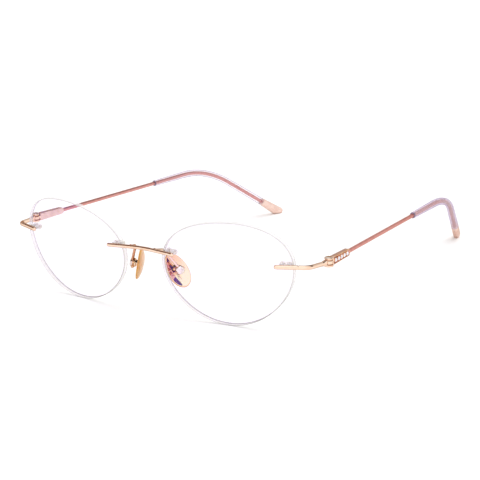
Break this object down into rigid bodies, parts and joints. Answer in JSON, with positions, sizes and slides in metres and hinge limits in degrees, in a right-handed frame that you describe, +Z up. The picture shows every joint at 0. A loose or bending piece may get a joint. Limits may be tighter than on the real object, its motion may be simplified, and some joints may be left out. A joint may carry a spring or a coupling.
{
  "type": "rimless eyeglasses",
  "caption": "Rimless eyeglasses with oval lenses, slim metal bridge and end pieces, folding wire temples with clear sleeves, and rocking nose pads.",
  "frame": {"origin": "midpoint between the two nose pads, where the glasses sit on the nose", "axes": "+X towards the wearer's left, +Y back along the temples towards the ears, +Z up; the rims and the tip caps touch a table 14.9 mm below the origin"},
  "size_m": [0.133, 0.1549, 0.0371],
  "materials": {
    "lens": "clear, polished optical resin",
    "clear_bushing": "clear moulded nylon",
    "rose_gold": "polished rose-gold plating on steel",
    "satin_gold": "satin pink-gold plating",
    "copper_enamel": "satin copper-pink enamel on steel wire",
    "clear_sleeve": "clear plastic with a faint lilac tint",
    "amber_pad": "glossy amber moulded plastic",
    "crystal": "clear faceted crystal"
  },
  "bodies": {
    "front": {"left_lens": "lens", "right_lens": "lens", "bridge": "rose_gold", "left_nasal_bushing": "clear_bushing", "right_nasal_bushing": "clear_bushing", "left_temporal_bushing": "clear_bushing", "right_temporal_bushing": "clear_bushing", "left_pad_arm": "rose_gold", "right_pad_arm": "rose_gold", "left_pad_box": "rose_gold", "right_pad_box": "rose_gold", "left_pad_screw": "rose_gold", "right_pad_screw": "rose_gold", "left_end_piece": "rose_gold", "right_end_piece": "rose_gold", "left_hinge_screw": "rose_gold", "right_hinge_screw": "rose_gold"},
    "left_temple": {"left_temple_plate": "rose_gold", "left_rhinestones": "crystal", "left_temple_wire": "copper_enamel", "left_temple_sleeve": "clear_sleeve", "left_tip_cap": "satin_gold"},
    "left_pad": {"left_nose_pad": "amber_pad", "left_pad_core": "rose_gold"},
    "right_temple": {"right_temple_plate": "rose_gold", "right_rhinestones": "crystal", "right_temple_wire": "copper_enamel", "right_temple_sleeve": "clear_sleeve", "right_tip_cap": "satin_gold"},
    "right_pad": {"right_nose_pad": "amber_pad", "right_pad_core": "rose_gold"}
  },
  "joints": [
    {"name": "left_temple_hinge", "type": "hinge", "parent": "front", "child": "left_temple", "pos_m": [0.065, 0.0081, 0.00858], "axis": [0, 0, 1], "range_deg": [0, 85]},
    {"name": "right_temple_hinge", "type": "hinge", "parent": "front", "child": "right_temple", "pos_m": [-0.065, 0.0081, 0.00858], "axis": [0, 0, -1], "range_deg": [0, 80]},
    {"name": "left_pad_rock", "type": "hinge", "parent": "front", "child": "left_pad", "pos_m": [0.01024, -0.00098, 0.00043], "axis": [0.3624, 0.8214, 0.4404], "range_deg": [-10, 10]},
    {"name": "right_pad_rock", "type": "hinge", "parent": "front", "child": "right_pad", "pos_m": [-0.01024, -0.00098, 0.00043], "axis": [0.3624, -0.8214, -0.4404], "range_deg": [-10, 10]}
  ]
}
